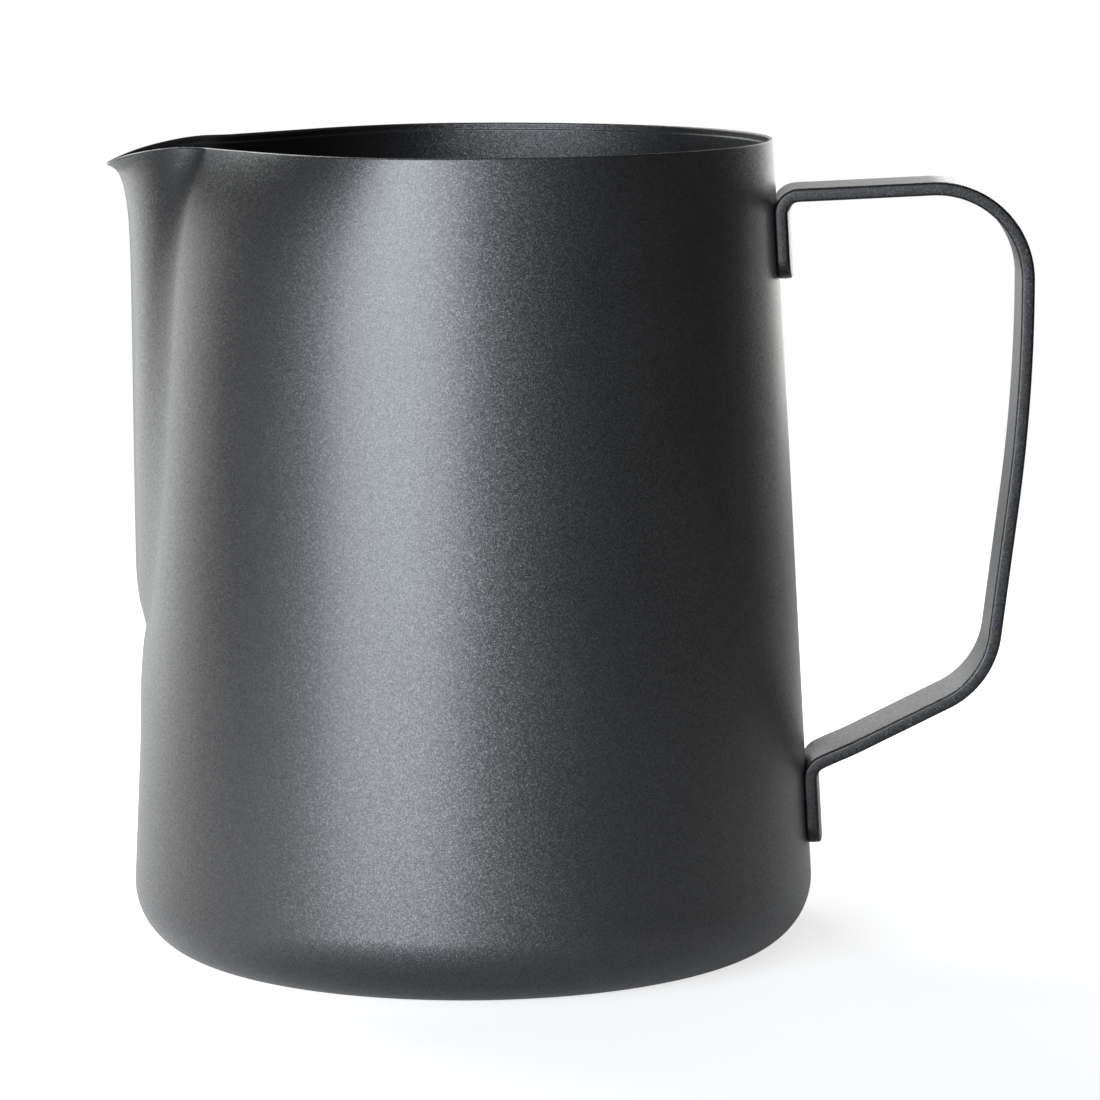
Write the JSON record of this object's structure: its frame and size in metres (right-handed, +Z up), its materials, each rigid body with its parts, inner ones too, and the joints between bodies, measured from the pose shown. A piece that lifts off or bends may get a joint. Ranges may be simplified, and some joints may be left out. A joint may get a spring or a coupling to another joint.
{
  "type": "milk frothing pitcher",
  "caption": "Tapered steel milk frothing pitcher with a pointed pouring spout and a bent strap handle, in a dark flecked coating.",
  "frame": {"origin": "centre of the flat base, on the surface the pitcher stands on", "axes": "+Z up the vessel's axis, +X towards the handle, the spout points to -X, and XZ is the plane of symmetry"},
  "size_m": [0.14, 0.104, 0.123],
  "materials": {
    "body_coating": "semi-matt charcoal coating with fine metallic flake, inside and out, on pressed stainless steel",
    "handle_coating": "the same semi-matt charcoal flake coating on bent stainless strip",
    "weld_metal": "bare fused stainless steel inside the joint"
  },
  "bodies": {
    "root": {"body_shell": "body_coating", "handle_strap": "handle_coating", "upper_spot_welds": "weld_metal", "lower_spot_welds": "weld_metal"}
  },
  "joints": []
}
